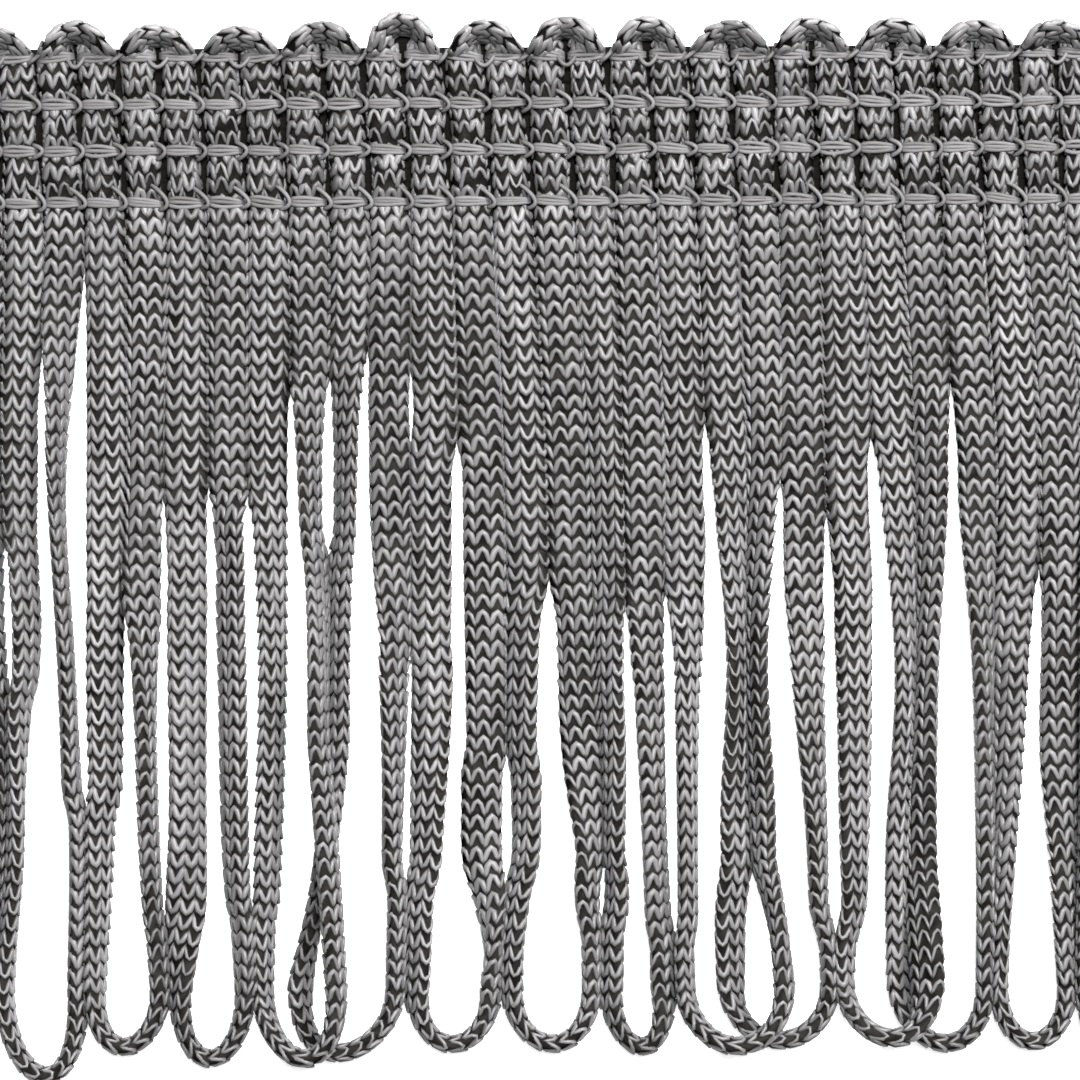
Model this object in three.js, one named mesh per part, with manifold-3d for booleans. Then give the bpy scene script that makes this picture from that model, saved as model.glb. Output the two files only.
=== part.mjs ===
// A cut length of looped fringe. One flat knitted cord crosses the heading, hangs in a long loop,
// crosses the heading again and turns over its top edge in a small scallop, all along the length.
// Rows of chain stitch hold the cord's passes side by side in the heading.
// The length lies face up on its back: X runs along the heading, Y from the loops to the scallops
// and Z out of the face. The origin is the middle of the heading's flat back, in millimetres.
import * as THREE from 'three';
import { mergeVertices } from 'three/addons/utils/BufferGeometryUtils.js';
import Module from 'manifold-3d';

const wasm = await Module();
wasm.setup();

// Cord
const STRAND_PITCH = 3;
const CORD_WIDTH = 2.5;
const CORD_THICKNESS = 0.9;

// Heading: a backing pressed flat behind the cord's passes, which lean a little down to the right
const HEADING_HEIGHT = 12.8;
const BACKING_THICKNESS = 1;
const PASS_LEAN = 0.045;
const PASS_FOOT_WIDTH = 2.8;
const PASS_TOP_WIDTH = 2.1;
const PASS_TOP = 1.75;
const ROOT_LIFT = 0.2;

// Chain stitch: the height of each row on the heading, and the sizes of a link and its waist
const CHAIN_ROWS = [5.4, 1.9, -1.5, -5.3];
const LINK_HEIGHT = 0.8;
const LINK_THICKNESS = 0.85;
const WAIST_HEIGHT = 0.4;
const WAIST_THICKNESS = 0.4;
const LINK_REACH = 0.25;
const GROOVE_FLOOR = 0.9;
const CLEARANCE = 0.3;

// Scallops over the top edge
const SCALLOP_HALF_WIDTH = 1.8;
const SCALLOP_TOP = 8.5;
const SCALLOP_FOOT = 0.15;

// Skirt: where strands leave the heading, where their lie is given, and the longest loop's low point
const ROOT = -7.5;
const STATIONS = [-25, -40, -53, -62.8];
const LOWEST = -69.4;
const CLIMB = 9;

// How each strand lies, from left to right, at the four stations: its sway to the right of its root
// in millimetres, and its turn from lying flat to standing on edge in degrees
const STRANDS = [
  { sway: [0.1, -0.1, -0.5, -0.8], turn: [25, 45, 65, 85] },
  { sway: [0.4, 0.9, 0.9, 0.3], turn: [45, 60, 65, 80] },
  { sway: [0.1, 0.0, -0.7, -1.1], turn: [45, 60, 75, 90] },
  { sway: [-0.3, 0.3, 0.9, 0.9], turn: [62, 88, 66, 78] },
  { sway: [0.2, 0.1, -0.3, -0.7], turn: [15, 20, 58, 78] },
  { sway: [-0.1, 0.0, 0.4, 1.0], turn: [37, 60, 75, 80] },
  { sway: [0.1, 0.0, -0.1, -0.4], turn: [0, 20, 20, 55] },
  { sway: [0.2, 0.2, 0.3, 1.0], turn: [40, 45, 50, 70] },
  { sway: [0.3, 0.3, -0.1, -0.4], turn: [33, 55, 58, 70] },
  { sway: [0.2, 0.4, 1.3, 2.1], turn: [58, 73, 70, 73] },
  { sway: [-0.2, -0.6, -1.8, -3.6], turn: [58, 63, 70, 62] },
  { sway: [0.0, 0.2, 0.0, -0.1], turn: [0, 50, 80, 80] },
  { sway: [0.1, 0.0, -0.5, -1.2], turn: [0, 5, 40, 50] },
  { sway: [1.0, 0.7, 0.7, 1.2], turn: [0, 0, 10, 58] },
  { sway: [1.0, 0.8, 0.7, 0.2], turn: [10, 33, 53, 62] },
  { sway: [1.3, 1.6, 2.3, 2.4], turn: [0, 22, 48, 85] },
  { sway: [0.9, 1.0, 1.5, 1.2], turn: [40, 45, 68, 55] },
  { sway: [0.8, 1.0, 1.5, 2.0], turn: [0, 42, 62, 50] },
  { sway: [0.8, 0.8, 0.9, 0.9], turn: [27, 55, 75, 75] },
  { sway: [0.9, 1.4, 0.8, 1.1], turn: [25, 67, 42, 58] },
  { sway: [0.6, 0.1, 0.6, 1.5], turn: [40, 62, 60, 70] },
  { sway: [0.4, 0.7, 1.5, 1.7], turn: [0, 37, 70, 85] },
  { sway: [0.7, 0.9, 0.8, 0.7], turn: [0, 27, 45, 73] },
  { sway: [1.0, 1.7, 1.1, 1.4], turn: [25, 62, 62, 60] },
  { sway: [0.8, 0.5, 0.2, 0.6], turn: [38, 60, 42, 55] },
  { sway: [1.1, 1.3, 1.7, 1.5], turn: [15, 65, 75, 80] },
  { sway: [1.4, 0.7, 0.2, -0.1], turn: [0, 27, 65, 90] },
  { sway: [1.4, 1.1, 1.3, 1.6], turn: [15, 20, 40, 68] },
  { sway: [1.3, 1.0, 0.7, 0.1], turn: [27, 37, 50, 70] },
  { sway: [1.1, 1.0, 0.8, 0.6], turn: [10, 33, 55, 85] },
];

// Each loop's two strands and how far it hangs short of the longest. A loop that rides over its right
// neighbour has climbed onto it at the height in climbed.
const LOOPS = [
  { left: 0, right: 1, short: 1.2 },
  { left: 2, right: 3, short: 0 },
  { left: 4, right: 5, short: 1.7 },
  { left: 6, right: 7, short: 0.8 },
  { left: 8, right: 9, short: 0.7, climbed: -41 },
  { left: 10, right: 11, short: 1.2 },
  { left: 12, right: 13, short: 1.7 },
  { left: 14, right: 15, short: 1.6 },
  { left: 16, right: 17, short: 1.5 },
  { left: 18, right: 20, short: 1.4, climbed: -62 },
  { left: 19, right: 21, short: 1.9 },
  { left: 22, right: 24, short: 1.8, climbed: -62 },
  { left: 23, right: 25, short: 1.4 },
  { left: 26, right: 27, short: 1.8 },
  { left: 28, right: 29, short: 1.5 },
];

// How far the top of each scallop stays below the tallest, from left to right
const SCALLOP_DIPS = [0.6, 0.4, 0.5, 0.6, 0.4, 0, 0.4, 0.2, 0.3, 0.5, 0.3, 0.4, 0.5, 0.5];

// Steps along a strand, a loop's bend and a scallop
const STRAND_STEPS = 11;
const BEND_STEPS = 10;
const SCALLOP_STEPS = 10;

const HEADING_TOP = HEADING_HEIGHT / 2;
const LENGTH = STRANDS.length * STRAND_PITCH;
const LIFT = CORD_WIDTH + CLEARANCE;
const ON_EDGE = 90;

// Grey rayon: the cord, and the smoother thread of the chain stitch
const CORD_LOOK = { color: 0x8d8b8a, roughness: 0.5, metalness: 0 };
const THREAD_LOOK = { color: 0x9a9898, roughness: 0.4, metalness: 0 };

const UNIT_SQUARE = new THREE.Shape([
  new THREE.Vector2(-0.5, -0.5),
  new THREE.Vector2(0.5, -0.5),
  new THREE.Vector2(0.5, 0.5),
  new THREE.Vector2(-0.5, 0.5),
]);
const UNIT_DIAMOND = new THREE.Shape([
  new THREE.Vector2(0, -0.5),
  new THREE.Vector2(0.5, 0),
  new THREE.Vector2(0, 0.5),
  new THREE.Vector2(-0.5, 0),
]);

// Closed three.js geometry as a solid that can be joined and cut
function solidOf(geometry) {
  const bare = geometry.index ? geometry.toNonIndexed() : geometry.clone();
  bare.deleteAttribute('normal');
  bare.deleteAttribute('uv');
  const welded = mergeVertices(bare, 1e-4);
  const mesh = new wasm.Mesh({
    numProp: 3,
    vertProperties: new Float32Array(welded.getAttribute('position').array),
    triVerts: new Uint32Array(welded.index.array),
  });
  return new wasm.Manifold(mesh);
}

// A finished solid as a named mesh
function meshOf(solid, name, look) {
  const { vertProperties, triVerts } = solid.getMesh();
  const geometry = new THREE.BufferGeometry();
  geometry.setAttribute('position', new THREE.BufferAttribute(vertProperties, 3));
  geometry.setIndex(new THREE.BufferAttribute(triVerts, 1));
  geometry.computeVertexNormals();
  const mesh = new THREE.Mesh(geometry, new THREE.MeshStandardMaterial(look));
  mesh.name = name;
  return mesh;
}

// A four-sided bar through a row of sections, each with a centre, a width and a thickness vector
function barThrough(shape, sections) {
  const steps = sections.length - 1;
  const geometry = new THREE.ExtrudeGeometry(shape, { depth: steps, steps, bevelEnabled: false });
  const position = geometry.getAttribute('position');
  const vertex = new THREE.Vector3();
  for (let i = 0; i < position.count; i += 1) {
    vertex.fromBufferAttribute(position, i);
    const { centre, width, thickness } = sections[Math.round(vertex.z)];
    const placed = centre.clone();
    placed.addScaledVector(width, vertex.x).addScaledVector(thickness, vertex.y);
    position.setXYZ(i, placed.x, placed.y, placed.z);
  }
  return solidOf(geometry);
}

// The flat cord along a route of points, each with its turn in degrees. The cord rests on the surface,
// or the point's lift above it.
function cordAlong(route) {
  const centres = route.map(({ x, y, lift, turn }) => {
    const angle = THREE.MathUtils.degToRad(turn);
    const height = CORD_WIDTH * Math.sin(angle) + CORD_THICKNESS * Math.cos(angle);
    return new THREE.Vector3(x, y, lift + height / 2);
  });
  const sections = route.map(({ turn }, i) => {
    const before = centres[Math.max(i - 1, 0)];
    const after = centres[Math.min(i + 1, centres.length - 1)];
    const along = after.clone().sub(before).normalize();
    const angle = THREE.MathUtils.degToRad(turn);
    const width = new THREE.Vector3(Math.cos(angle), 0, -Math.sin(angle));
    width.projectOnPlane(along).normalize();
    const thickness = along.clone().cross(width);
    return {
      centre: centres[i],
      width: width.multiplyScalar(CORD_WIDTH),
      thickness: thickness.multiplyScalar(CORD_THICKNESS),
    };
  });
  return barThrough(UNIT_SQUARE, sections);
}

// Where the pass of a strand through the heading stands at a height
function passX(strand, y) {
  return (strand + 0.5) * STRAND_PITCH - LENGTH / 2 - PASS_LEAN * y;
}

// Points down a strand, from inside the heading to its last station
function strandRoute(strand, climbed) {
  const { sway, turn } = STRANDS[strand];
  const rootX = passX(strand, 0);
  const depths = [-ROOT, ...STATIONS.map((height) => -height)];
  const values = [passX(strand, ROOT) - rootX, 0];
  STATIONS.forEach((_, i) => values.push(sway[i], turn[i]));
  const lie = new THREE.CubicInterpolant(depths, values, 2, new Float64Array(2));
  const last = STATIONS[STATIONS.length - 1];
  const inHeading = (y) => ({ x: passX(strand, y), y, lift: ROOT_LIFT, turn: 0 });
  const route = [inHeading(CHAIN_ROWS[3]), inHeading((ROOT - HEADING_TOP) / 2)];
  for (let step = 0; step <= STRAND_STEPS; step += 1) {
    const y = THREE.MathUtils.lerp(ROOT, last, step / STRAND_STEPS);
    const [offset, angle] = lie.evaluate(-y);
    const settled = ROOT_LIFT * (1 - THREE.MathUtils.smoothstep(-y, -ROOT, -ROOT + 5));
    const climb = climbed ? LIFT * THREE.MathUtils.smoothstep(-y, -climbed - CLIMB, -climbed) : 0;
    const turned = THREE.MathUtils.clamp(angle, 0, ON_EDGE);
    route.push({ x: rootX + offset, y, lift: settled + climb, turn: turned });
  }
  return route;
}

// One loop: down its left strand, round the bend on edge, and up its right strand
function loopSolid({ left, right, short, climbed }) {
  const down = strandRoute(left);
  const up = strandRoute(right, climbed);
  const start = down[down.length - 1];
  const end = up[up.length - 1];
  const low = LOWEST + short + CORD_THICKNESS / 2;
  const bend = [];
  for (let step = 1; step < BEND_STEPS; step += 1) {
    const share = step / BEND_STEPS;
    const across = (1 - Math.cos(Math.PI * share)) / 2;
    const deep = Math.sin(Math.PI * share);
    const nearest = share < 0.5 ? start : end;
    bend.push({
      x: THREE.MathUtils.lerp(start.x, end.x, across),
      y: THREE.MathUtils.lerp(start.y, low, deep),
      lift: end.lift * THREE.MathUtils.smoothstep(share, 0, 0.5),
      turn: THREE.MathUtils.lerp(nearest.turn, ON_EDGE, deep),
    });
  }
  return cordAlong([...down, ...bend, ...up.reverse()]);
}

// One scallop: the cord on edge, arched over the top edge from a pass to the next
function scallopSolid(dip, index) {
  const middle = (passX(2 * index + 1, HEADING_TOP) + passX(2 * index + 2, HEADING_TOP)) / 2;
  const spring = HEADING_TOP - SCALLOP_FOOT;
  const rise = SCALLOP_TOP - dip - CORD_THICKNESS / 2 - spring;
  const route = [];
  for (let step = 0; step <= SCALLOP_STEPS; step += 1) {
    const angle = Math.PI * (step / SCALLOP_STEPS);
    route.push({
      x: middle - SCALLOP_HALF_WIDTH * Math.cos(angle),
      y: spring + rise * Math.sin(angle),
      lift: ROOT_LIFT,
      turn: ON_EDGE,
    });
  }
  return cordAlong(route);
}

// One pass of the cord through the heading, rounded off to a narrower top
function passSolid(strand) {
  const half = PASS_FOOT_WIDTH / 2;
  const profile = new THREE.Shape([
    new THREE.Vector2(-half, BACKING_THICKNESS / 2),
    new THREE.Vector2(half, BACKING_THICKNESS / 2),
    new THREE.Vector2(PASS_TOP_WIDTH / 2, PASS_TOP),
    new THREE.Vector2(-PASS_TOP_WIDTH / 2, PASS_TOP),
  ]);
  const sections = [CHAIN_ROWS[3], CHAIN_ROWS[0]].map((y) => ({
    centre: new THREE.Vector3(passX(strand, y), y, 0),
    width: new THREE.Vector3(-1, 0, 0),
    thickness: new THREE.Vector3(0, 0, 1),
  }));
  return barThrough(profile, sections);
}

// A block across the whole heading between two heights and two levels
function headingBlock(length, bottom, top, floor, ceiling) {
  const block = new THREE.BoxGeometry(length, top - bottom, ceiling - floor);
  block.translate(0, (bottom + top) / 2, (floor + ceiling) / 2);
  return solidOf(block);
}

// One row of chain stitch: a thread that swells into a link over each pass
function chainSolid(y) {
  const level = GROOVE_FLOOR + CLEARANCE + LINK_THICKNESS / 2;
  const section = (x, height, thick) => ({
    centre: new THREE.Vector3(x, y, level),
    width: new THREE.Vector3(0, height, 0),
    thickness: new THREE.Vector3(0, 0, thick),
  });
  const sections = STRANDS.flatMap((_, strand) => {
    const middle = passX(strand, y);
    const half = STRAND_PITCH / 2;
    return [
      section(middle - half, WAIST_HEIGHT, WAIST_THICKNESS),
      section(middle - half * (1 - 2 * LINK_REACH), LINK_HEIGHT, LINK_THICKNESS),
      section(middle + half * (1 - 2 * LINK_REACH), LINK_HEIGHT, LINK_THICKNESS),
    ];
  });
  const end = passX(STRANDS.length - 1, y) + STRAND_PITCH / 2;
  sections.push(section(end, WAIST_HEIGHT, WAIST_THICKNESS));
  return barThrough(UNIT_DIAMOND, sections);
}

// The cord and the heading's backing, with a groove for each row of chain stitch
let fringe = headingBlock(LENGTH, -HEADING_TOP, HEADING_TOP, 0, BACKING_THICKNESS);
STRANDS.forEach((_, strand) => {
  fringe = fringe.add(passSolid(strand));
});
LOOPS.forEach((loop) => {
  fringe = fringe.add(loopSolid(loop));
});
SCALLOP_DIPS.forEach((dip, index) => {
  fringe = fringe.add(scallopSolid(dip, index));
});
const grooveHalf = LINK_HEIGHT / 2 + CLEARANCE;
CHAIN_ROWS.forEach((y) => {
  const groove = headingBlock(LENGTH + CORD_WIDTH, y - grooveHalf, y + grooveHalf, GROOVE_FLOOR, LIFT);
  fringe = fringe.subtract(groove);
});

const group = new THREE.Group();
group.name = 'looped_fringe';
group.add(meshOf(fringe, 'fringe', CORD_LOOK));
CHAIN_ROWS.forEach((y, row) => {
  group.add(meshOf(chainSolid(y), `chain_row_${row + 1}`, THREAD_LOOK));
});

export default group;
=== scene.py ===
"""Looks of the looped fringe: a flat knitted cord laid in long loops, its heading bound by rows of chain
stitch. Every stitch of the cord is modelled. Lengths are millimetres until a mesh is made."""
import math
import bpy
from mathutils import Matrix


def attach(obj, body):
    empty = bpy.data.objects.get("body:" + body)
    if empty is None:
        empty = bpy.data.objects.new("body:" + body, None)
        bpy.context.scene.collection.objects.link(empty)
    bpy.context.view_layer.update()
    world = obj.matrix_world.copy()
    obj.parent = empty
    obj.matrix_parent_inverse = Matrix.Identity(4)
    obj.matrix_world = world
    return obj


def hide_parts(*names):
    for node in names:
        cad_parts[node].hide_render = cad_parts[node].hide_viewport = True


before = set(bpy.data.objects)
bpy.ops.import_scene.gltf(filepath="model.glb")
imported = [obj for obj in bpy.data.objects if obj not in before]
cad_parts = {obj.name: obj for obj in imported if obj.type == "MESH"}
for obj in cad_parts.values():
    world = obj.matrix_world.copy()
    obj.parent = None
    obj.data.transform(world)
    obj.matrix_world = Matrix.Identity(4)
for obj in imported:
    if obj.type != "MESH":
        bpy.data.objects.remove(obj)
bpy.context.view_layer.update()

from types import SimpleNamespace

import bpy
import numpy as np

MM = 0.001
SEED = 7
rng = np.random.default_rng(SEED)

# Cord: size over its stitches, the oval that runs through the middle of them, and its core, near black as
# painted shade showing between the stitches
STRAND_PITCH = 3.0
CORD_WIDTH = 3.05
CORD_THICKNESS = 1.2
OVAL_WIDTH = 2.72
OVAL_THICKNESS = 0.92
OVAL_STEPS = 720
CORE_WIDTH_SHARE = 1.03
CORE_THICKNESS_SHARE = 0.9
CORE_STEP = 0.6
CORE_SIDES = 10
CORE_TONES = (0.1, 1)

# How much wider the cord is where it lies flat, and how much thicker low in the skirt and in its bends
FLAT_SPREAD = 0.06
LOW_SWELL = 0.32
BEND_SWELL = -0.08

# The step along the cord, how far its lie is softened, and how many times that far the softening reaches
STEP = 0.25
SOFTEN = 0.5
SOFTEN_REACH = 3

# Stitches: small flat arches of yarn side by side round the cord, in rows along it. A ring of an arch has
# its share of the way to either foot, its size and how far it stands out. The yarn's section is given
# sideways and out, with how light each of its corners is: the sunk sides carry painted shade.
WALES = 6
ROW_PITCH = 1.16
ARCH_RISE = 0.95
ARCH_POWER = 2.0
ARCH_RINGS = [
    {"share": -1.06, "size": 0.0, "out": -0.06},
    {"share": -0.84, "size": 0.88, "out": 0.0},
    {"share": -0.44, "size": 1.0, "out": 0.0},
    {"share": 0.0, "size": 1.05, "out": 0.03},
    {"share": 0.44, "size": 1.0, "out": 0.0},
    {"share": 0.84, "size": 0.88, "out": 0.0},
    {"share": 1.06, "size": 0.0, "out": -0.06},
]
YARN_SECTION = [
    {"side": 0.24, "out": -0.12, "tone": 0.35},
    {"side": 0.185, "out": 0.08, "tone": 0.92},
    {"side": 0.0, "out": 0.13, "tone": 1.0},
    {"side": -0.185, "out": 0.08, "tone": 0.92},
    {"side": -0.24, "out": -0.12, "tone": 0.35},
]
# Painted shade at the tips of each arch, where it tucks under the next row
TIP_TONE = 0.5
FIBRES_ACROSS = 4

# Chance in the stitches: how far the wales creep round the cord, how the yarn swells and fades along them,
# with the radians that each wave runs in a row, and how far a stitch strays
CREEP_STARTS = [0.25, 0.75]
CREEP = 0.12
CREEP_PACES = (0.06, 0.1)
WAVE = 0.12
WAVE_PACES = (0.2, 0.5)
TONE_DRIFT = 0.07
TONE_PACES = (0.06, 0.14)
WALE_DRIFT = 0.09
WALE_PACES = (0.1, 0.2)
PHASES = (0, 6)
ROW_STRAY = 0.025
LEAN_STRAY = 0.05
RISE_STRAY = 0.05
FULLNESS_STRAY = 0.06
TONE_STRAY = 0.06
FIBRE_SHIFTS = (0, 100)
HEADING_WILDNESS = 1.7

# Where the knit changes: how far above the root a cord is wholly bound, how far below it is still full, how
# near the lowest point it is wholly bent, and how sharply its edges and grooves end
HEADING_FADE = 3
ROOT_REACH = 8
BENT_WITHIN = 2
EDGE_SHARPNESS = 6
GROOVE_SHARPNESS = 3

# How full the yarn is, by where it lies. A block is a stretch of a pass from one chain row down to the
# next: its yarn is fuller above the share of its height where fullness is even and thinner below, and
# lighter above the share where its tone is even and darker below, as painted light and shade.
LEAST_FULLNESS = 0.55
MOST_FULLNESS = 1.45
EDGE_THINNING = 0.25
EDGE_STAND = 0.1
LOW_THINNING = 0.08
BEND_THINNING = 0.4
DRAWN_THINNING = 0.28
ROOT_FULLNESS = 0.13
HEADING_FULLNESS = -0.06
BLOCK_FULLNESS = 0.45
BLOCK_EVEN_FULLNESS = 0.55
SCALLOP_YARN = 0.4

# How light the yarn is, by where it lies: a tone by chance within limits; painted shade at the cord's
# edges, in the grooves, on drawn stretches, at the edges of the heading's passes and in its slots; painted
# light and shade in each block; a darker heading and darker plump stretches; and painted light low in
# the skirt, in bends and on the scallops' rims
YARN_TONE = 0.66
LEAST_TONE = 0.3
MOST_TONE = 0.95
EDGE_SHADE = 0.1
GROOVE_SHADE = 0.95
# Painted highlights: stitches lighter low in the skirt and in the bends
LOW_LIGHT = 1.12
BEND_LIGHT = 1.12
DRAWN_SHADE = 0.25
PLUMP_SHADE = 0.1
HEADING_TONE = 0.86
HEADING_EDGE_SHADE = 0.6
BLOCK_SHADE = 0.4
BLOCK_EVEN_TONE = 0.4
SLOT_SHADE = 0.9
# Painted light on the rims of the scallops, which face up
RIM_LIGHT = 1.8

# The inner side of a scallop, darkened by painted shade from below the heading's top to above it, how deep
# that shade is, and the share of its stitches left lit
INNER_FROM = -0.2
INNER_FULL = 0.8
INNER_SHADE = 0.5
INNER_LIT = 0.3

# Heading: its passes, which vary in width across and up it, the backing's threads behind them, and the
# heights of the chain rows that pinch them
HEADING_TOP = 6.4
PASS_LEAN = 0.045
PASS_WIDTH_SHARE = 0.93
PASS_WIDTH_VARY = 0.09
PASS_WAVE_ACROSS = 1.7
PASS_WAVE_UP = 0.9
BACKING_LOW = 0.02
BACKING_TOP = 0.35
BACKING_THREADS = 14
BACKING_POINTS = 121
BACKING_SPREAD = 4.2
BACKING_RISE = 0.9
BACKING_DIP = 0.1
BACKING_INSET = 0.9
BACKING_FOOT = 0.3
BACKING_HEAD = 0.9
CHAIN_ROWS = [5.4, 1.9, -1.5, -5.3]
PINCH_REACH = 0.75
PINCH_DEPTH = 0.32

# Chain stitch: a flat band of threads lies along each pass and a bend of thread crosses the gap after it.
# A band's lanes close up at its ends and open between them, by chance, and both dip near their ends.
BAND_LANES = [-0.25, 0.0, 0.25]
BAND_RADIUS = 0.16
BAND_FLATNESS = 0.6
BAND_FROM_GAP = 0.14
BAND_TO_GAP = 0.16
BAND_CLOSED = 0.45
BAND_OPEN = 0.75
BAND_OPENINGS = (0.6, 1.3)
BAND_SKEW = 0.7
BAND_STRAY = 0.12
BAND_SLOPE = 0.04
BAND_SLOPE_STRAY = 0.06
BAND_LEVEL = 1.26
BAND_END_LEVEL = 1.0
BAND_DIP_FROM = 0.6
BAND_POINTS = 9
CROSS_RADIUS = 0.165
CROSS_PULL = 0.6
CROSS_STRAY = 0.06
CROSS_LEVEL = 1.42
CROSS_END_LEVEL = 1.1
CROSS_DIP_FROM = 0.5
CROSS_POINTS = 11
THREAD_SIDES = 6
THREAD_TONE = 0.7
THREAD_TONE_STRAY = 0.1
LEAST_THREAD_TONE = 0.4
THREAD_FIBRE_SHIFT = 7

# A crossing has its start, tip and end from the middle of the gap, across and up. The first row's gaps lie
# under a scallop and between two by turns.
CROSSINGS = [
    [
        {"start": (-0.55, -0.5), "tip": (0.1, -0.05), "end": (0.5, 0.4)},
        {"start": (-0.75, 0.15), "tip": (0.0, -1.0), "end": (0.75, 0.2)},
    ],
    [{"start": (-0.95, 0.95), "tip": (0.4, 0.0), "end": (-0.4, -0.6)}],
    [{"start": (-0.6, 0.6), "tip": (0.4, 0.0), "end": (-0.5, -0.65)}],
    [{"start": (-1.2, 1.35), "tip": (0.4, 0.0), "end": (-0.4, -0.5)}],
]

# Scallops over the top edge, and how far each stays below the highest
SCALLOP_BASE = 6.0
SCALLOP_TOP = 8.4
SCALLOP_HALF_WIDTH = 1.6
SCALLOP_LIFT = 0.2
SCALLOP_LEAN = 0.46
SCALLOP_FULLNESS = 0.75
SCALLOP_STRETCH = 0.55
SCALLOP_POINTS = 40
SCALLOP_DIPS = [0.9, 0.5, 0.8, 1.0, 0.6, 0.0, 0.6, 0.3, 0.4, 0.7, 0.5, 0.6, 0.7, 0.8]

# Skirt: where strands leave the heading, how soon they settle on the surface, where their lie is given, the
# longest loop's low point, the form of the bends, and how a loop climbs to lie over another
ROOT = -7.5
SETTLE = 5.0
STATIONS = [-25, -40, -53, -62.8]
LOWEST = -69.4
BEND_DROP = 0.2
BEND_FULLNESS = 1.0
BEND_BULGE = 0.1
BEND_POINTS = 40
CLIMB = 9
OVER = 2.9

# How each strand lies, from left to right, at the four stations: its sway to the right of its root, and
# its turn in degrees from lying flat, with its right edge down. The slit to the next strand is open from
# the height where they part to the height where they join again, if they do, but for a stretch where it is
# shut. The painted shade in the groove above the slit is GROOVE long unless its length is given.
STRANDS = [
    {"sway": [0.1, -0.1, -0.5, -0.8], "turn": [25, 45, 65, 85], "parts": -22},
    {"sway": [0.4, 1.0, 0.9, 0.3], "turn": [45, 60, 65, 80], "parts": -29.5, "joins": -42},
    {"sway": [0.1, 0.4, -0.2, -0.8], "turn": [45, 60, 105, 85], "parts": -14.8},
    {"sway": [-0.3, 0.4, 0.85, 1.0], "turn": [75, 90, 82, 74], "parts": -10, "joins": -50.5},
    {"sway": [0.3, 0.15, 0.1, -0.5], "turn": [20, 30, 52, 72], "parts": -34.5},
    {"sway": [-0.05, 0.1, 0.4, 1.0], "turn": [-37, 64, 80, 80], "parts": -26.5, "joins": -59},
    {"sway": [0.15, 0.2, 0.15, -0.3], "turn": [5, 24, 24, -55], "parts": -25.8},
    {"sway": [0.2, 0.5, 0.7, 1.2], "turn": [-40, -48, -54, -70], "parts": -26.5, "joins": -58},
    {"sway": [0.3, 0.5, 0.1, -0.2], "turn": [33, 55, 58, 70], "parts": -18.5},
    {"sway": [0.3, 0.7, 1.6, 2.2], "turn": [58, 73, 70, 73], "parts": -17.6, "joins": -31.7},
    {"sway": [-0.1, -0.4, -1.7, -3.6], "turn": [-58, -63, -70, -118], "parts": -15.8},
    {"sway": [0.1, 0.4, 0.2, 0], "turn": [0, 50, 80, 80], "parts": -16.8, "joins": -56, "shut": (-24, -38)},
    {"sway": [0.2, 0.2, -0.3, -0.7], "turn": [0, -5, -40, -50], "parts": -22.4},
    {"sway": [1.0, 0.75, 0.8, 0.75], "turn": [0, 0, -8, -115], "parts": -45.3, "joins": -56},
    {"sway": [1.0, 1.1, 1.0, 0.6], "turn": [-10, -33, -53, -62], "parts": -32.8},
    {"sway": [1.3, 1.8, 2.5, 2.4], "turn": [-8, -22, 48, 85], "parts": -53.4, "joins": -59, "groove": 18},
    {"sway": [0.9, 1.2, 1.7, 1.5], "turn": [-40, -45, -68, -55], "parts": -34.6},
    {"sway": [0.8, 1.1, 1.5, 1.9], "turn": [-10, 42, 62, 50], "parts": -33.4, "joins": -60},
    {"sway": [0.8, 0.9, 0.9, 0.9], "turn": [-27, 55, 75, 75], "parts": -21.1},
    {"sway": [1.1, 1.6, 1.0, 1.0], "turn": [25, 67, 40, 50], "parts": -53.7, "groove": 18},
    {"sway": [0.5, -0.1, 0.9, 1.8], "turn": [-40, -62, -60, -110], "parts": -25.4},
    {"sway": [0.5, 0.8, 1.4, 1.5], "turn": [-10, 37, 72, 85], "parts": -27.9, "joins": -60},
    {"sway": [0.8, 1.2, 1.15, 1.1], "turn": [0, 27, 47, 73], "parts": -22.3},
    {"sway": [1.4, 2.0, 1.3, 1.45], "turn": [25, 62, 62, 50], "parts": -70, "groove": 20},
    {"sway": [1.0, 0.4, -0.05, 0.2], "turn": [-38, -60, -40, -36], "parts": -18.3},
    {"sway": [1.3, 1.3, 1.5, 1.4], "turn": [15, 65, 75, 80], "parts": -70},
    {"sway": [1.4, 0.9, 0.3, -0.1], "turn": [0, -27, -65, -90], "parts": -32.4},
    {"sway": [1.4, 1.2, 1.3, 1.6], "turn": [-15, -20, 40, 68], "parts": -70},
    {"sway": [1.3, 1.0, 0.7, 0.1], "turn": [27, 37, 50, 70], "parts": -30},
    {"sway": [1.1, 1.0, 0.8, 0.6], "turn": [10, 33, 55, 85], "parts": -70},
]

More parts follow.
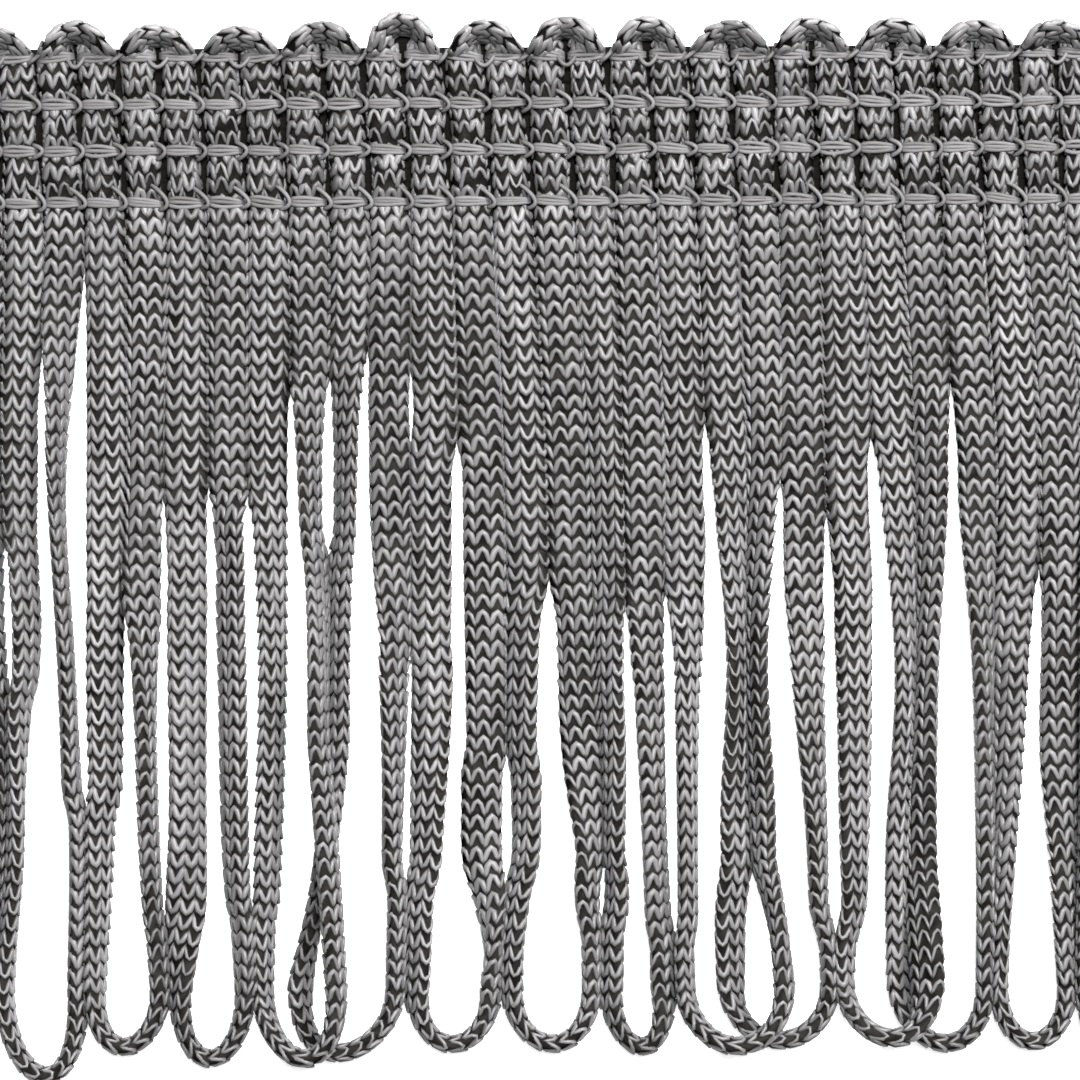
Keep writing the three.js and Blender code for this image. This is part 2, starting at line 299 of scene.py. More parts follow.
# Stretches of strands where the knit is drawn thin and darkened by painted shade, or is plump and a little
# darker where by is below nought
DRAWN = [
    {"strand": 1, "from": -41, "to": -66, "by": 1.0},
    {"strand": 2, "from": -29, "to": -42, "by": -0.6},
    {"strand": 3, "from": -50, "to": -64, "by": -0.9},
    {"strand": 5, "from": -56, "to": -70, "by": 1.0},
    {"strand": 6, "from": -27, "to": -58, "by": -0.9},
    {"strand": 6, "from": -60, "to": -70, "by": 1.0},
    {"strand": 9, "from": -32, "to": -45, "by": -0.9},
    {"strand": 10, "from": -52, "to": -60, "by": 1.0},
    {"strand": 12, "from": -33, "to": -44, "by": -0.5},
    {"strand": 17, "from": -53, "to": -60, "by": -0.8},
    {"strand": 19, "from": -36, "to": -49, "by": 1.0},
    {"strand": 20, "from": -37, "to": -50, "by": 1.0},
    {"strand": 23, "from": -56, "to": -66, "by": -0.4},
    {"strand": 24, "from": -47, "to": -62, "by": 1.0},
    {"strand": 26, "from": -26, "to": -56, "by": -0.8},
    {"strand": 29, "from": -14, "to": -45, "by": 0.6},
]

# Each loop's two strands, how far it hangs short of the longest, how far its low point is pulled to the
# right and how deep the painted shade in its bend is. A loop that rides over its right neighbour has
# climbed onto it at the height in climbed.
LOOPS = [
    {"left": 0, "right": 1, "short": 1.2, "pull": 0.0, "dark": 0.3},
    {"left": 2, "right": 3, "short": -0.4, "pull": 0.3, "dark": 0.5},
    {"left": 4, "right": 5, "short": 1.7, "pull": -0.3, "dark": 0.3},
    {"left": 6, "right": 7, "short": 0.8, "pull": -0.2, "dark": 0.2},
    {"left": 8, "right": 9, "short": 1.1, "pull": 0.5, "dark": 0.3, "climbed": -41},
    {"left": 10, "right": 11, "short": 1.2, "pull": -0.8, "dark": 0.4},
    {"left": 12, "right": 13, "short": 1.8, "pull": -0.1, "dark": 0.1},
    {"left": 14, "right": 15, "short": 1.8, "pull": 0.1, "dark": 0.1},
    {"left": 16, "right": 17, "short": 1.5, "pull": 0.4, "dark": 1.2},
    {"left": 18, "right": 20, "short": 1.9, "pull": 0.1, "dark": 0.0, "climbed": -62},
    {"left": 19, "right": 21, "short": 2.0, "pull": 0.0, "dark": 0.4},
    {"left": 22, "right": 24, "short": 2.4, "pull": 0.4, "dark": 0.0, "climbed": -62},
    {"left": 23, "right": 25, "short": 1.7, "pull": 0.2, "dark": 1.3},
    {"left": 26, "right": 27, "short": 1.8, "pull": 0.0, "dark": 0.4},
    {"left": 28, "right": 29, "short": 1.5, "pull": 0.0, "dark": 0.3},
]

# Slits between strands: how far strands overlap above and below them, how soon that ends inside them, how
# fast they open at least and at most, how wide they have to be, and how far below their top that holds.
# Above SHIFT_FROM strands are widened to meet, and below SHIFT_TO they are moved.
SLIT_TOUCH = 0.28
SLIT_LIP = 2.5
SLIT_FLARE_LEAST = 0.13
SLIT_FLARE_MOST = 0.35
SLIT_WIDTH = 0.8
SLIT_REACH = 10
SHIFT_FROM = -25
SHIFT_TO = -40

# The turn from flat at which a strand's turn counts in full, how far a strand may spread, how long the
# painted shade in the groove above a slit is, how soon it ends inside the slit, and how far the ends of a
# drawn stretch fade
FLIP_TURN = 15
MOST_SPREAD = 1.2
GROOVE = 8
GROOVE_END = 1.5
DRAWN_FADE = 2

# Yarns: greys for tones from dark to light, and how rough and shiny they are. The green and blue of a grey
# are shares of its red: dark greys are warm, and those from LIGHT_GREY up are neutral.
YARNS = {
    "cord_rayon": {"ramp": [(0, 0.02), (0.6, 0.135), (1, 0.235)], "roughness": 0.4, "shine": 0.45},
    # The cord's core is near black as painted shade, seen in the gaps between the stitches
    "cord_core_shade": {"ramp": [(0, 0.003), (1, 0.026)], "roughness": 0.9, "shine": 0.0},
    # The backing's threads are real, but their near black is painted shade, seen in the slots between the
    # passes
    "backing_yarn": {"ramp": [(0, 0.003), (1, 0.014)], "roughness": 0.9, "shine": 0.0},
    "chain_rayon": {"ramp": [(0, 0.04), (0.6, 0.11), (1, 0.17)], "roughness": 0.5, "shine": 0.4},
}
LIGHT_GREY = 0.14
GREEN_SHARES = (0.92, 0.975)
BLUE_SHARES = (0.84, 0.99)
FIBRE_SCALE = (1.6, 7, 1)
FIBRE_DETAIL = 2
STREAK = 0.5
STREAK_LEAST = 0.75
FIBRE_BUMP = 0.5
FIBRE_HEIGHT = 0.04

# Floor and lights, in metres
FLOOR_SIZE = 4
FLOOR_GREY = 0.93
FLOOR_ROUGHNESS = 0.9
FLOOR_SHINE = 0.1
FLOOR_GLOW = 0.75
WORLD_STRENGTH = 0.15
LIGHT_AIM = (0, -0.03, 0)
LIGHTS = [
    {"name": "overhead", "place": (0.06, 0.14, 0.68), "size": 0.22, "power": 7.4},
    {"name": "key", "place": (0.28, 0.35, 0.42), "size": 0.15, "power": 6.4},
]

# Camera: the width of its frame at the level that it looks at, its place across and along, and its roll
CAMERA_LENS = 150
CAMERA_SENSOR = 36
FRAME_WIDTH = 79.3
LOOK_LEVEL = 1.2
CAMERA_X = 0.66
CAMERA_Y = -30.2
CAMERA_ROLL = -0.28

LENGTH = len(STRANDS) * STRAND_PITCH
HEIGHTS = np.arange(SCALLOP_BASE, STATIONS[-1], -STEP)

# Columns of a route: where the cord runs, its turn, lean and spread, the painted shade in the grooves on
# either side of it, and how drawn its knit is
X, Y, LIFT, TURN, LEAN, SPREAD, DARK_LEFT, DARK_RIGHT, TIGHT = range(9)


def smoothstep(value, low, high):
    """0 below low, 1 above high and a smooth ramp between them"""
    share = np.clip((value - low) / (high - low), 0, 1)
    return share * share * (3 - 2 * share)


def cubic_through(knots, values, at):
    """Values on a smooth curve through the knots"""
    knots = np.asarray(knots, float)
    values = np.asarray(values, float)
    span = np.diff(knots)
    slope = np.diff(values) / span
    tangent = np.concatenate(([slope[0]], (slope[1:] + slope[:-1]) / 2, [slope[-1]]))
    i = np.clip(np.searchsorted(knots, at) - 1, 0, len(span) - 1)
    p = (at - knots[i]) / span[i]
    ends = values[i] * (1 + 2 * p) * (1 - p) ** 2 + values[i + 1] * (3 - 2 * p) * p**2
    return ends + span[i] * p * (1 - p) * (tangent[i] * (1 - p) - tangent[i + 1] * p)


def unit(vectors):
    """Vectors in rows, each made one long"""
    return vectors / np.linalg.norm(vectors, axis=-1, keepdims=True)


def run_along(points):
    """How far along a line each of its points is"""
    return np.concatenate(([0], np.cumsum(np.linalg.norm(np.diff(points, axis=0), axis=1))))


def pass_x(strand, y):
    """Where the pass of a strand through the heading stands at a height"""
    return (strand + 0.5) * STRAND_PITCH - LENGTH / 2 - PASS_LEAN * y


def half_cover(turn):
    """Half the width that a cord at a turn covers, seen from above"""
    angle = np.radians(turn)
    return np.hypot(CORD_WIDTH / 2 * np.cos(angle), CORD_THICKNESS / 2 * np.sin(angle))


def turn_to_cover(half, turn):
    """The turn at which a cord covers half a width, near the turn that it has"""
    thin = (CORD_THICKNESS / 2) ** 2
    flat = np.clip((half**2 - thin) / ((CORD_WIDTH / 2) ** 2 - thin), 0, 1)
    half_turns = 180 * np.round(turn / 180)
    way = np.clip((turn - half_turns) / FLIP_TURN, -1, 1)
    return half_turns + way * np.degrees(np.arccos(np.sqrt(flat)))


def free_lies(depth):
    """Place across and turn of every strand at each depth, as the table gives them"""
    depths = [-ROOT] + [-height for height in STATIONS]
    middle = []
    turn = []
    for strand, lie in enumerate(STRANDS):
        root_x = pass_x(strand, 0)
        middle.append(root_x + cubic_through(depths, [pass_x(strand, ROOT) - root_x] + lie["sway"], depth))
        turn.append(cubic_through(depths, [0] + lie["turn"], depth))
    return np.array(middle), np.array(turn)


def drawn_knit(depth):
    """How drawn the knit of every strand is at each depth; drawn knit is thinner and carries painted shade
    """
    drawn = np.zeros((len(STRANDS), len(depth)))
    for stretch in DRAWN:
        begun = smoothstep(depth + stretch["from"], -DRAWN_FADE, DRAWN_FADE)
        over = smoothstep(depth + stretch["to"], -DRAWN_FADE, DRAWN_FADE)
        drawn[stretch["strand"]] += stretch["by"] * (begun - over)
    return drawn


def slit_limits(lie, below, depth):
    """The least and most width of the slit beside a strand at each depth, and how firmly the least holds"""
    above = np.maximum(-depth - lie.get("joins", -np.inf), 0)
    shut_from, shut_to = lie.get("shut", (0, 0))
    apart = np.maximum(np.maximum(-shut_from - depth, depth + shut_to), 0)
    room = np.minimum(np.minimum(below, above), apart)
    touch = SLIT_TOUCH * (1 - smoothstep(room, 0, SLIT_LIP))
    most = SLIT_FLARE_MOST * room - touch
    least = np.minimum(SLIT_FLARE_LEAST * np.minimum(below, apart), SLIT_WIDTH) - touch
    held = (below > 0) * (1 - smoothstep(below, SLIT_REACH / 2, SLIT_REACH))
    return least, most, held


def strand_lies():
    """Place across, turn and spread of every strand at each height, neighbours touching beyond their slit,
    the painted shade in the groove on its left and on its right, and how drawn its knit is"""
    depth = np.maximum(-HEIGHTS, -ROOT)
    middle, turn = free_lies(depth)
    left = middle - half_cover(turn)
    right = middle + half_cover(turn)
    loose = smoothstep(depth, -ROOT, -ROOT + SETTLE)
    shifted = smoothstep(depth, -SHIFT_FROM, -SHIFT_TO)
    dark_left = np.zeros_like(middle)
    dark_right = np.zeros_like(middle)
    for strand, lie in enumerate(STRANDS[:-1]):
        below = np.maximum(depth + lie["parts"], 0)
        least, most, held = slit_limits(lie, below, depth)
        gap = left[strand + 1] - right[strand]
        change = loose * (np.maximum(gap - most, 0) - held * np.maximum(least - gap, 0)) / 2
        right[strand] += change
        left[strand] += shifted * change
        left[strand + 1] -= change
        right[strand + 1] -= shifted * change
        # Painted shade along the groove above each slit, fading out inside the slit
        groove = 1 - smoothstep(-lie["parts"] - depth, 0, lie.get("groove", GROOVE))
        groove *= 1 - smoothstep(below, 0, GROOVE_END)
        dark_right[strand] = loose * groove
        dark_left[strand + 1] = loose * groove
    half = (right - left) / 2
    spread = np.clip(half / (CORD_WIDTH / 2), 1, MOST_SPREAD)
    turn = turn_to_cover(half, turn)
    return np.stack([(left + right) / 2, turn, spread, dark_left, dark_right, drawn_knit(depth)], axis=1)


STRAND_LIES = strand_lies()


def route_points(x, y, lift, turn, lean=0, spread=1, dark_left=0, dark_right=0, tight=0):
    """Points of a route, with its columns in their order"""
    columns = np.broadcast_arrays(x, y, lift, turn, lean, spread, dark_left, dark_right, tight)
    return np.column_stack(columns)


def strand_route(strand, climbed=None):
    """Points down a strand from the foot of its scallop"""
    x, turn, spread, dark_left, dark_right, tight = STRAND_LIES[strand]
    x = np.where(HEIGHTS > ROOT, pass_x(strand, HEIGHTS), x)
    lift = BACKING_TOP * (1 - smoothstep(-HEIGHTS, -ROOT, -ROOT + SETTLE))
    if climbed is not None:
        lift = lift + OVER * smoothstep(-HEIGHTS, -climbed - CLIMB, -climbed)
    return route_points(x, HEIGHTS, lift, turn, 0, spread, dark_left, dark_right, tight)


def edge_turn(turn):
    """The nearest turn that stands a cord on edge"""
    return 90 + 180 * np.round((turn - 90) / 180)


def bend_route(start, end, low, pull, dark):
    """Points of the bend from the foot of a loop's left strand to the foot of its right one"""
    share = np.linspace(0, 1, BEND_POINTS)[1:-1]
    cosine = np.cos(np.pi * share)
    across = (1 - np.sign(cosine) * np.abs(cosine) ** BEND_FULLNESS) / 2
    deep = np.sin(np.pi * share) ** BEND_FULLNESS
    bulge = BEND_BULGE * np.sin(2 * np.pi * share)
    nearest_turn = np.where(share < 0.5, start[TURN], end[TURN])
    x = start[X] + (end[X] - start[X]) * across - bulge + pull * deep**2
    y = start[Y] + (low - start[Y]) * deep
    lift = end[LIFT] * smoothstep(share, 0, 0.5)
    turn = nearest_turn + (edge_turn(start[TURN]) - nearest_turn) * deep
    # The bend's painted shade is added to how drawn its knit is, deepest at its low point
    tight = start[TIGHT] + (end[TIGHT] - start[TIGHT]) * share + dark * deep
    return route_points(x, y, lift, turn, tight=tight)


def scallop_route(start_x, end_x, dip):
    """Points of the arch over the top edge from one pass to the next, its lower edge leaning inwards"""
    way = np.sign(end_x - start_x)
    upright = math.sqrt(1 - SCALLOP_LEAN**2)
    top = SCALLOP_TOP - dip - (CORD_WIDTH * SCALLOP_LEAN + CORD_THICKNESS * upright) / 2
    angle = np.linspace(0, np.pi, SCALLOP_POINTS)
    full = np.sign(np.cos(angle)) * np.abs(np.cos(angle)) ** SCALLOP_FULLNESS
    x = (start_x + end_x) / 2 - way * SCALLOP_HALF_WIDTH * full
    y = SCALLOP_BASE + (top + SCALLOP_STRETCH - SCALLOP_BASE) * np.sin(angle) ** SCALLOP_FULLNESS
    inward = SCALLOP_LEAN * np.cos(angle)
    turn = way * np.degrees(np.arctan2(upright, inward))
    lean = -way * SCALLOP_LEAN * np.sin(angle) / np.hypot(upright, inward)
    foot = route_points(end_x, SCALLOP_BASE - STEP, BACKING_TOP, way * 180)
    return np.vstack([route_points(x, y, SCALLOP_LIFT, turn, lean), foot])


def loop_route(index):
    """Points of one loop: down its left strand, round the bend, up its right strand and over a scallop"""
    loop = LOOPS[index]
    down = strand_route(loop["left"])
    up = strand_route(loop["right"], loop.get("climbed"))
    half_turns = np.round((edge_turn(down[-1, TURN]) - up[-1, TURN]) / 180)
    up[:, TURN] += 180 * half_turns
    if half_turns % 2:
        up[:, [DARK_LEFT, DARK_RIGHT]] = up[:, [DARK_RIGHT, DARK_LEFT]]
    low = LOWEST + loop["short"] + CORD_THICKNESS / 2 - BEND_DROP
    parts = [down, bend_route(down[-1], up[-1], low, loop["pull"], loop["dark"]), up[::-1]]
    if index + 1 < len(LOOPS):
        next_x = pass_x(LOOPS[index + 1]["left"], SCALLOP_BASE)
        scallop = scallop_route(up[0, X], next_x, SCALLOP_DIPS[index])
        scallop[:, TURN] += 180 * half_turns
        scallop[:, LEAN] *= np.cos(np.pi * half_turns)
        parts.append(scallop)
    return np.vstack(parts)


def evenly(points, step):
    """The same route with points a step apart"""
    along = run_along(points[:, [X, Y]])
    at = np.linspace(0, along[-1], round(along[-1] / step) + 1)
    return np.column_stack([np.interp(at, along, column) for column in points.T])


def softened(points, spread):
    """The route with its kinks smoothed out, its two ends kept"""
    reach = math.ceil(SOFTEN_REACH * spread)
    weights = np.exp(-0.5 * (np.arange(-reach, reach + 1) / spread) ** 2)
    weights /= weights.sum()
    before = 2 * points[0] - points[reach:0:-1]
    after = 2 * points[-1] - points[-2 : -reach - 2 : -1]
    padded = np.vstack([before, points, after])
    return np.column_stack([np.convolve(column, weights, "valid") for column in padded.T])


# Angles round the oval, and the share of its outline up to each
OVAL_ANGLES = np.linspace(0, 2 * np.pi, OVAL_STEPS + 1)
OVAL_POINTS = np.column_stack([OVAL_WIDTH * np.cos(OVAL_ANGLES), OVAL_THICKNESS * np.sin(OVAL_ANGLES)])
OVAL_SHARES = run_along(OVAL_POINTS)
OVAL_SHARES /= OVAL_SHARES[-1]


class Cord:
    """A stretch of the cord: its middle line, the directions across it, and its section's scale"""

    def __init__(self, route):
        x, y, lift, turn, lean, spread, left, right, tight = softened(evenly(route, STEP), SOFTEN / STEP).T
        self.dark_left = left
        self.dark_right = right
        self.drawn = tight
        self.size_section(x, y, turn, spread)
        self.lay_down(x, y, lift, turn, lean)

    def size_section(self, x, y, turn, spread):
        """How wide and thick the cord is, and where it is loose, low, bent or over the top"""
        in_heading = smoothstep(y, ROOT, ROOT + HEADING_FADE)
        self.loose = 1 - in_heading
        self.over_top = smoothstep(y, CHAIN_ROWS[0], HEADING_TOP)
        self.block = np.interp(y, CHAIN_ROWS[::-1], np.arange(len(CHAIN_ROWS))[::-1]) % 1
        self.near_root = self.loose * smoothstep(y, ROOT - ROOT_REACH, ROOT)
        self.low = smoothstep(-y, -STATIONS[0], -STATIONS[2])
        self.bent = smoothstep(-y, -STATIONS[-1], -LOWEST - BENT_WITHIN)
        pinch = sum(np.exp(-(((y - row) / PINCH_REACH) ** 2)) for row in CHAIN_ROWS)
        flat = np.cos(np.radians(turn)) ** 2
        pass_wave = np.sin(PASS_WAVE_ACROSS * x + PASS_WAVE_UP * y)
        pass_width = PASS_WIDTH_SHARE + PASS_WIDTH_VARY * pass_wave
        self.wide = spread + FLAT_SPREAD * flat * (1 - in_heading) - (1 - pass_width) * in_heading
        self.thick = 1 - PINCH_DEPTH * np.clip(pinch, 0, 1) * np.abs(np.cos(np.radians(turn)))
        self.thick += LOW_SWELL * self.low + BEND_SWELL * self.bent

    def lay_down(self, x, y, lift, turn, lean):
        """The middle line, with the cord resting at its lift, and the directions across the cord"""
        angle = np.radians(turn)
        across = unit(np.column_stack([np.cos(angle), lean, -np.sin(angle)]))
        half_width = CORD_WIDTH / 2 * self.wide
        half_thickness = CORD_THICKNESS / 2 * self.thick
        tall = across[:, 2]
        z = lift + np.hypot(half_width * tall, half_thickness * np.sqrt(1 - tall**2))
        self.centre = np.column_stack([x, y, z])
        self.along = run_along(self.centre)
        tangent = unit(np.gradient(self.centre, axis=0))
        across -= np.sum(across * tangent, axis=1, keepdims=True) * tangent
        self.across = unit(across)
        self.face = np.cross(tangent, self.across)
        # Which side of a scallop is its inside, where its stitches get painted shade
        towards_inside = np.sign(np.sum(self.face * np.gradient(tangent, axis=0), axis=1))
        self.inside = towards_inside * smoothstep(y, HEADING_TOP + INNER_FROM, HEADING_TOP + INNER_FULL)

    def length(self):
        """How long the stretch is"""
        return self.along[-1]

    def at(self, values, distance):
        """Values kept along the cord, read at distances along it"""
        if values.ndim == 1:
            return np.interp(distance, self.along, values)
        return np.column_stack([np.interp(distance, self.along, column) for column in values.T])

    def surface(self, distance, round_share, wide_share=1.0, thick_share=1.0):
        """Points on the oval through the stitches, and the directions out of it"""
        angle = np.interp(round_share % 1, OVAL_SHARES, OVAL_ANGLES)
        wide = self.at(self.wide, distance) * OVAL_WIDTH / 2 * wide_share
        thick = self.at(self.thick, distance) * OVAL_THICKNESS / 2 * thick_share
        across = self.at(self.across, distance)
        face = self.at(self.face, distance)
        out = across * (np.cos(angle) / wide)[:, None] + face * (np.sin(angle) / thick)[:, None]
        point = across * (np.cos(angle) * wide)[:, None] + face * (np.sin(angle) * thick)[:, None]
        return self.at(self.centre, distance) + point, unit(out)


def tube_faces(rings, sides):
    """Triangles of a tube of rings, each end capped by one point"""
    faces = []
    for ring in range(rings - 1):
        for side in range(sides):
            a = ring * sides + side
            b = ring * sides + (side + 1) % sides
            c = b + sides
            d = a + sides
            faces += [(a, b, c), (a, c, d)]
    first_tip = rings * sides
    last_tip = first_tip + 1
    end = (rings - 1) * sides
    for side in range(sides):
        after = (side + 1) % sides
        faces.append((first_tip, after, side))
        faces.append((last_tip, end + side, end + after))
    return np.array(faces)


def knit_places(cord):
    """Row, wale and chance waves of every stitch of a stretch of cord, and how the cord lies there"""
    rows = round(cord.length() / ROW_PITCH)
    pitch = cord.length() / rows
    row, wale = (grid.ravel() for grid in np.meshgrid(np.arange(rows), np.arange(WALES)))
    creep = rng.choice(CREEP_STARTS)
    creep = creep + CREEP * np.sin(row * rng.uniform(*CREEP_PACES) + rng.uniform(*PHASES))
    waves = rng.uniform(*WAVE_PACES, WALES)[wale] * row + rng.uniform(*PHASES, WALES)[wale]
    drift = TONE_DRIFT * np.sin(row * rng.uniform(*TONE_PACES) + rng.uniform(*PHASES))
    drift += WALE_DRIFT * np.sin(row * rng.uniform(*WALE_PACES) + rng.uniform(*PHASES, WALES)[wale])
    angle = np.interp((wale + creep) / WALES % 1, OVAL_SHARES, OVAL_ANGLES)
    start = row * pitch
    # Painted shade from a groove falls on the stitches at the edge beside it
    groove = cord.at(cord.dark_right, start) * np.clip(np.cos(angle), 0, 1) ** GROOVE_SHARPNESS
    groove += cord.at(cord.dark_left, start) * np.clip(-np.cos(angle), 0, 1) ** GROOVE_SHARPNESS
    loose = cord.at(cord.loose, start)
    over_top = cord.at(cord.over_top, start)
    bound = (1 - loose) * (1 - over_top)
    return SimpleNamespace(
        count=len(row),
        pitch=pitch,
        row=row,
        wale=wale,
        creep=creep,
        waves=waves,
        drift=drift,
        at_edge=np.abs(np.cos(angle)) ** EDGE_SHARPNESS,
        inner=np.clip(np.sin(angle) * cord.at(cord.inside, start), 0, 1),
        groove=groove,
        loose=loose,
        over_top=over_top,
        bound=bound,
        wild=1 + HEADING_WILDNESS * bound,
        block=cord.at(cord.block, (row + 0.5) * pitch),
        near_root=cord.at(cord.near_root, start),
        low=cord.at(cord.low, start),
        bent=cord.at(cord.bent, start),
        drawn=cord.at(cord.drawn, start),
    )


def knit_fullness(knit):
    """How full the yarn of every stitch is"""
    fullness = 1 + knit.wild * rng.normal(0, FULLNESS_STRAY, knit.count) + WAVE * np.sin(knit.waves)
    thinned = EDGE_THINNING * knit.at_edge * knit.loose
    fullness += HEADING_FULLNESS * (1 - knit.loose) + SCALLOP_YARN * knit.over_top - thinned
    fullness += ROOT_FULLNESS * knit.near_root
    fullness += BLOCK_FULLNESS * (BLOCK_EVEN_FULLNESS - knit.block) * knit.bound
    drawn = DRAWN_THINNING * knit.drawn * (1 - knit.bent)
    fullness -= LOW_THINNING * knit.low + BEND_THINNING * knit.bent + drawn
    return np.clip(fullness, LEAST_FULLNESS, MOST_FULLNESS)


def knit_spines(cord, knit):
    """Points along the arch of every stitch, and the directions sideways and out from them"""
    row = knit.row + knit.wild * rng.normal(0, ROW_STRAY, knit.count)
    lean = knit.wild * rng.normal(0, LEAN_STRAY, knit.count)
    rise = ARCH_RISE * (1 + knit.wild * rng.normal(0, RISE_STRAY, knit.count))
    spine = []
    outward = []
    for ring in ARCH_RINGS:
        share = ring["share"]
        drop = rise * (abs(share) ** ARCH_POWER - 0.5)
        distance = np.clip((row + 0.5 - drop + lean * share) * knit.pitch, 0, cord.length())
        point, out = cord.surface(distance, (knit.wale + knit.creep + 0.5 * share) / WALES)
        spine.append(point + ring["out"] * out)
        outward.append(out)
    spine = np.stack(spine, axis=1)
    outward = np.stack(outward, axis=1)
    direction = unit(np.gradient(spine, axis=1))
    outward = unit(outward - np.sum(outward * direction, axis=2, keepdims=True) * direction)
    return spine, np.cross(direction, outward), outward


def knit_tones(knit):
    """How light every stitch is: a tone by chance, with painted light and shade by where it lies"""
    strayed = YARN_TONE + knit.wild * rng.normal(0, TONE_STRAY, knit.count)
    tone = np.clip(strayed, LEAST_TONE, MOST_TONE)
    # Painted light near the chain row above each block of a pass, and painted shade towards the chain row
    # below
    tone *= 1 - BLOCK_SHADE * (knit.block - BLOCK_EVEN_TONE) * knit.bound
    # Painted shade on the stitches at the cord's edges, where it rounds away, and deeper at the edges of
    # the heading's passes beside the slots
    tone *= 1 - (EDGE_SHADE * knit.loose + HEADING_EDGE_SHADE * knit.bound) * knit.at_edge
    # Painted shade in the grooves above the slits, and the whole heading a little darker
    tone *= (1 - GROOVE_SHADE * knit.groove) * (1 + (HEADING_TONE - 1) * knit.bound)
    # Painted light on the edge stitches at a scallop's rim
    tone *= 1 + (RIM_LIGHT - 1) * np.sqrt(knit.at_edge) * knit.over_top
    # Painted shade on the inner side of a scallop, sparing a share of its stitches
    tone *= 1 - INNER_SHADE * knit.inner * (rng.uniform(0, 1, knit.count) > INNER_LIT)
    # Random drift of tone along the rows, and painted highlights low in the skirt and in the bends
    tone *= 1 + knit.drift + (LOW_LIGHT - 1) * knit.low + (BEND_LIGHT - 1) * knit.bent
    # Painted shade on drawn stretches and in bends; plump stretches are a little darker
    tone *= 1 - np.where(knit.drawn > 0, DRAWN_SHADE, PLUMP_SHADE) * np.abs(knit.drawn)
    return tone


def stitches(cord):
    """Points, triangles, fibre coordinates and tones of all the stitches of a stretch of cord"""
    knit = knit_places(cord)
    fullness = knit_fullness(knit)
    spine, sideways, outward = knit_spines(cord, knit)
    body_rings = ARCH_RINGS[1:-1]
    size = np.array([ring["size"] for ring in body_rings])[:, None, None]
    side = np.array([corner["side"] for corner in YARN_SECTION])[:, None]
    out = np.array([corner["out"] for corner in YARN_SECTION])[:, None]
    stand = 1 + EDGE_STAND * knit.at_edge * knit.loose
    section = sideways[:, 1:-1, None] * side * fullness[:, None, None, None]
    section += outward[:, 1:-1, None] * out * stand[:, None, None, None]
    body = (spine[:, 1:-1, None] + size * section).reshape(knit.count, -1, 3)
    points = np.concatenate([body, spine[:, :1], spine[:, -1:]], axis=1)
    fibre = np.empty(points.shape)
    fibre[:, :, 0] = [ring["share"] for ring in body_rings for _ in YARN_SECTION] + [-1, 1]
    fibre_side = [FIBRES_ACROSS * corner["side"] for _ in body_rings for corner in YARN_SECTION]
    fibre[:, :, 1] = fibre_side + [0, 0]
    fibre[:, :, 2] = rng.uniform(*FIBRE_SHIFTS, knit.count)[:, None]
    # The corner tones paint shade onto the yarn's sunk sides and tucked tips
    corner_tone = [corner["tone"] for _ in body_rings for corner in YARN_SECTION] + [TIP_TONE, TIP_TONE]
    tone = (knit_tones(knit)[:, None] * corner_tone).ravel()
    template = tube_faces(len(body_rings), len(YARN_SECTION))
    faces = template[None] + (np.arange(knit.count) * points.shape[1])[:, None, None]
    return points.reshape(-1, 3), faces.reshape(-1, 3), fibre.reshape(-1, 3), tone


def cord_core(cord):
    """Points, triangles and tones of the cord's core behind its stitches, near black as painted shade, and
    darker still as painted shade at its edges in the heading's slots
    """
    rings = round(cord.length() / CORE_STEP) + 1
    distance = np.repeat(np.linspace(0, cord.length(), rings), CORE_SIDES)
    round_share = np.tile(np.arange(CORE_SIDES) / CORE_SIDES, rings)
    points, _ = cord.surface(distance, round_share, CORE_WIDTH_SHARE, CORE_THICKNESS_SHARE)
    points = np.vstack([points, cord.centre[0], cord.centre[-1]])
    at_edge = np.abs(np.cos(np.interp(round_share, OVAL_SHARES, OVAL_ANGLES)))
    # Painted shade: the core is darker still at its edges where it shows in the heading's slots
    shade = 1 - SLOT_SHADE * at_edge * (1 - cord.at(cord.loose, distance))
    tone = rng.uniform(*CORE_TONES, len(points)) * np.append(shade, [1, 1])
    return points, tube_faces(rings, CORE_SIDES), tone


def make_piece(name, points, faces, fibre, tone, materials):
    """A smooth mesh in metres with its fibre coordinates and tones"""
    mesh = bpy.data.meshes.new(name)
    mesh.from_pydata(points * MM, [], faces, shade_flat=False)
    mesh.attributes.new("fibre", "FLOAT_VECTOR", "POINT").data.foreach_set("vector", fibre.ravel())
    mesh.attributes.new("tone", "FLOAT", "POINT").data.foreach_set("value", tone)
    for material in materials:
        mesh.materials.append(material)
    piece = bpy.data.objects.new(name, mesh)
    bpy.context.scene.collection.objects.link(piece)
    return piece


def loop_piece(index, yarn, hollow):
    """One loop of the knitted cord"""
    cord = Cord(loop_route(index))
    knit, knit_faces, fibre, tone = stitches(cord)
    core, core_faces, core_tone = cord_core(cord)
    points = np.vstack([knit, core])
    faces = np.vstack([knit_faces, core_faces + len(knit)])
    fibre = np.vstack([fibre, core])
    tone = np.concatenate([tone, core_tone])
    piece = make_piece(f"loop_{index + 1:02d}", points, faces, fibre, tone, [yarn, hollow])
    # The core's faces take the near-black painted shade material
    core_shade_faces = np.zeros(len(faces), dtype=np.int32)
    core_shade_faces[len(knit_faces) :] = 1
    piece.data.polygons.foreach_set("material_index", core_shade_faces)
    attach(piece, "root")
    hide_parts("fringe")


